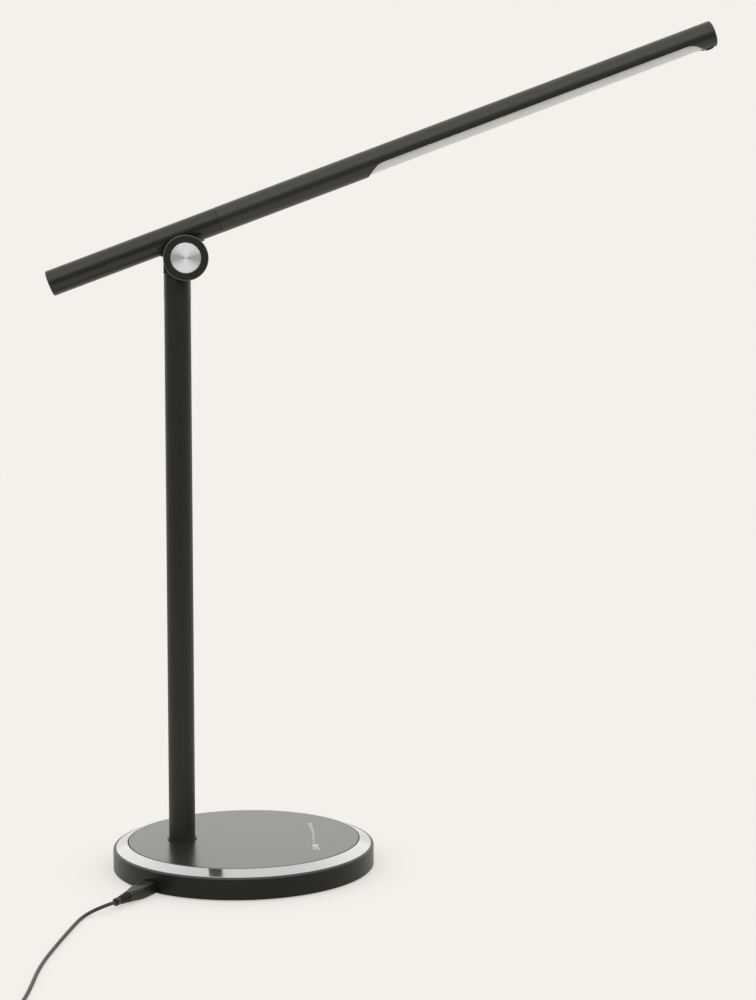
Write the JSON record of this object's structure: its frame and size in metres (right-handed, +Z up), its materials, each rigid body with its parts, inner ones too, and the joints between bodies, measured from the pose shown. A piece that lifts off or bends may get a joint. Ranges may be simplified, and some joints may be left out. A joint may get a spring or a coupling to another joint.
{
  "type": "folding led desk lamp",
  "caption": "Desk lamp with a weighted round base, an upright pole and a fork hinge that folds a straight tube carrying an opal LED strip; touch controls and a USB lead.",
  "frame": {"origin": "centre of the foot pad's underside, on the surface the lamp stands on, on the axis of the round base", "axes": "+Z up along the pole, +X from the pole across the base to the touch controls and along the lit end of the arm, +Y to the back along the hinge axle; the fold plane is X-Z"},
  "size_m": [0.4818, 0.464, 0.6118],
  "materials": {
    "base_plastic": "satin",
    "top_plate": "satin",
    "chrome": "polished",
    "steel_plate": "satin",
    "steel": "satin",
    "plated_steel": "polished",
    "rubber": "matte",
    "circuit_board": "satin",
    "wire_red": "satin",
    "wire_white": "satin",
    "painted_tube": "satin",
    "painted_head": "satin",
    "painted_casting": "satin",
    "cast_metal": "matte",
    "washer": "matte",
    "knob_black": "satin",
    "spun_aluminium": "polished",
    "cap_black": "satin",
    "brass": "satin",
    "bare_aluminium": "matte",
    "led_board": "satin",
    "led_phosphor": "matte",
    "opal": "satin",
    "cord_black": "satin",
    "tie_black": "matte"
  },
  "bodies": {
    "base": {"base_shell": "base_plastic", "base_top_plate": "top_plate", "chrome_ring": "chrome", "ballast_plate": "steel_plate", "bottom_cover": "base_plastic", "cover_screws": "steel", "foot_pad": "rubber", "touch_board": "circuit_board", "board_screws": "steel", "base_wiring": "wire_red", "socket_board": "circuit_board", "power_socket": "plated_steel", "pole_tube": "painted_tube", "pole_collar": "base_plastic", "pole_foot": "cast_metal", "pole_screws": "steel", "pole_lead": "wire_white", "neck_fork": "painted_casting", "neck_grub_screw": "steel", "hinge_axle": "steel", "friction_washers": "washer", "disc_springs": "steel", "hinge_nut": "steel", "hinge_cap_ring": "knob_black", "hinge_cap_disc": "spun_aluminium", "hinge_rear_cover": "knob_black", "cord_plug": "cord_black", "cord_plug_tip": "plated_steel", "power_cord": "cord_black", "cord_coil": "cord_black", "cord_tie": "tie_black", "cord_tail": "cord_black", "usb_plug": "cord_black", "usb_plug_shell": "plated_steel"},
    "arm": {"arm_tube": "painted_tube", "arm_lug": "painted_casting", "lug_screws": "steel", "arm_end_cap": "cap_black", "roll_bush": "brass", "roll_circlip": "steel", "arm_lead": "wire_white"},
    "head": {"head_tube": "painted_head", "head_hub": "base_plastic", "roll_stop_pin": "steel", "led_carrier": "bare_aluminium", "led_board": "led_board", "led_chips": "led_phosphor", "head_lead": "wire_white", "diffuser": "opal", "head_end_cap": "cap_black", "bumper_pad": "rubber"}
  },
  "joints": [
    {"name": "arm_fold", "type": "hinge", "parent": "base", "child": "arm", "pos_m": [-0.0382, 0, 0.4412], "axis": [0, 1, 0], "range_deg": [-33, 111.3]},
    {"name": "head_roll", "type": "hinge", "parent": "arm", "child": "head", "pos_m": [-0.01537, 0, 0.46918], "axis": [0.9354, 0, 0.3535], "range_deg": [-90, 90]}
  ]
}
